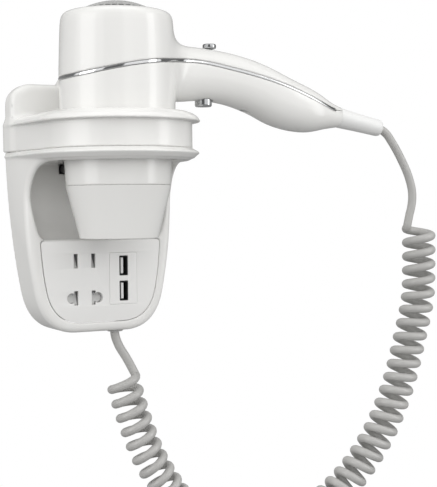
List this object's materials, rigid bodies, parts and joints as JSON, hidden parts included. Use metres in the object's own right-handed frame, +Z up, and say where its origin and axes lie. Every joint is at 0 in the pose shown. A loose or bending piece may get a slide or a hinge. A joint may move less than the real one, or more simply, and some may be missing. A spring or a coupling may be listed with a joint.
{
  "type": "wall-mounted hair dryer",
  "caption": "Wall-mounted hair dryer: corded handset hanging nose down in the collar of a holder with mains and USB sockets.",
  "frame": {"origin": "centre of the wall plate's rear face, on the wall, level with the middle of the holder", "axes": "+Y into the wall (the holder stands out along -Y), +Z up, +X to the right seen from the front, towards the handle"},
  "size_m": [0.3082, 0.1225, 0.39],
  "materials": {
    "holder_white": "gloss",
    "handset_white": "gloss",
    "panel_white": "satin",
    "grey_plastic": "satin",
    "soft_grey": "matt",
    "chrome_trim": "mirror",
    "button_chrome": "mirror",
    "black_plastic": "satin",
    "port_white": "satin",
    "steel": "satin",
    "brass": "satin",
    "mica": "matt",
    "board": "satin",
    "heating_wire": "satin",
    "cord_sheath": "satin"
  },
  "bodies": {
    "holder": {"holder_collar": "holder_white", "holder_base": "holder_white", "wall_plate": "grey_plastic", "wall_screw_1": "steel", "wall_screw_2": "steel", "wall_screw_3": "steel", "plate_screw_1": "steel", "plate_screw_2": "steel", "plate_screw_3": "steel", "plate_screw_4": "steel", "socket_panel": "panel_white", "socket_carrier": "grey_plastic", "contact_left": "brass", "contact_right": "brass", "usb_shell_1": "steel", "usb_shell_2": "steel", "usb_tongue_1": "port_white", "usb_tongue_2": "port_white", "usb_board": "board", "usb_transformer": "black_plastic", "terminal_block": "grey_plastic", "park_switch": "black_plastic", "collar_liner": "soft_grey", "cord_grommet": "soft_grey", "cord_coil": "cord_sheath", "cord_base_end": "cord_sheath"},
    "handset": {"upper_shell": "handset_white", "lower_shell": "handset_white", "trim_strip": "chrome_trim", "shell_screw_1": "steel", "shell_screw_2": "steel", "inlet_grille": "grey_plastic", "inlet_filter": "steel", "motor": "steel", "air_duct": "black_plastic", "heater_frame": "mica", "heater_coil": "heating_wire", "heater_liner": "mica", "thermostat": "steel", "thermal_fuse": "brass", "outlet_guard": "black_plastic", "slide_switch": "black_plastic", "trigger_switch": "black_plastic", "trigger_spring": "steel", "control_board": "board", "cord_clamp": "black_plastic", "handle_lead": "cord_sheath", "tail_sleeve": "soft_grey", "cord_handset_end": "cord_sheath"},
    "nozzle": {"nozzle": "handset_white"},
    "fan": {"fan": "black_plastic", "motor_shaft": "steel"},
    "slide_knob": {"slide_switch_knob": "button_chrome"},
    "trigger": {"trigger_button": "button_chrome"},
    "lever": {"park_lever": "black_plastic"}
  },
  "joints": [
    {"name": "handset_lift", "type": "slide", "parent": "holder", "child": "handset", "axis": [0, 0, 1], "range_m": [0, 0.11]},
    {"name": "nozzle_turn", "type": "hinge", "parent": "handset", "child": "nozzle", "pos_m": [0, -0.0685, 0], "axis": [0, 0, 1], "continuous": true},
    {"name": "fan_spin", "type": "hinge", "parent": "handset", "child": "fan", "pos_m": [0, -0.0685, 0.116], "axis": [0, 0, 1], "continuous": true},
    {"name": "slide_switch_travel", "type": "slide", "parent": "handset", "child": "slide_knob", "axis": [1, 0, 0], "range_m": [0, 0.006]},
    {"name": "trigger_press", "type": "slide", "parent": "handset", "child": "trigger", "axis": [0, 0, 1], "range_m": [0, 0.0025], "stiffness_N_per_m": 800, "springref_m": -0.002, "deforming": ["trigger_spring"]},
    {"name": "park_lever_travel", "type": "slide", "parent": "holder", "child": "lever", "axis": [0, -1, 0], "range_m": [0, 0.0035]}
  ],
  "couplings": [
    {"joint": "park_lever_travel", "follows": "handset_lift", "ratio": 0.03}
  ]
}
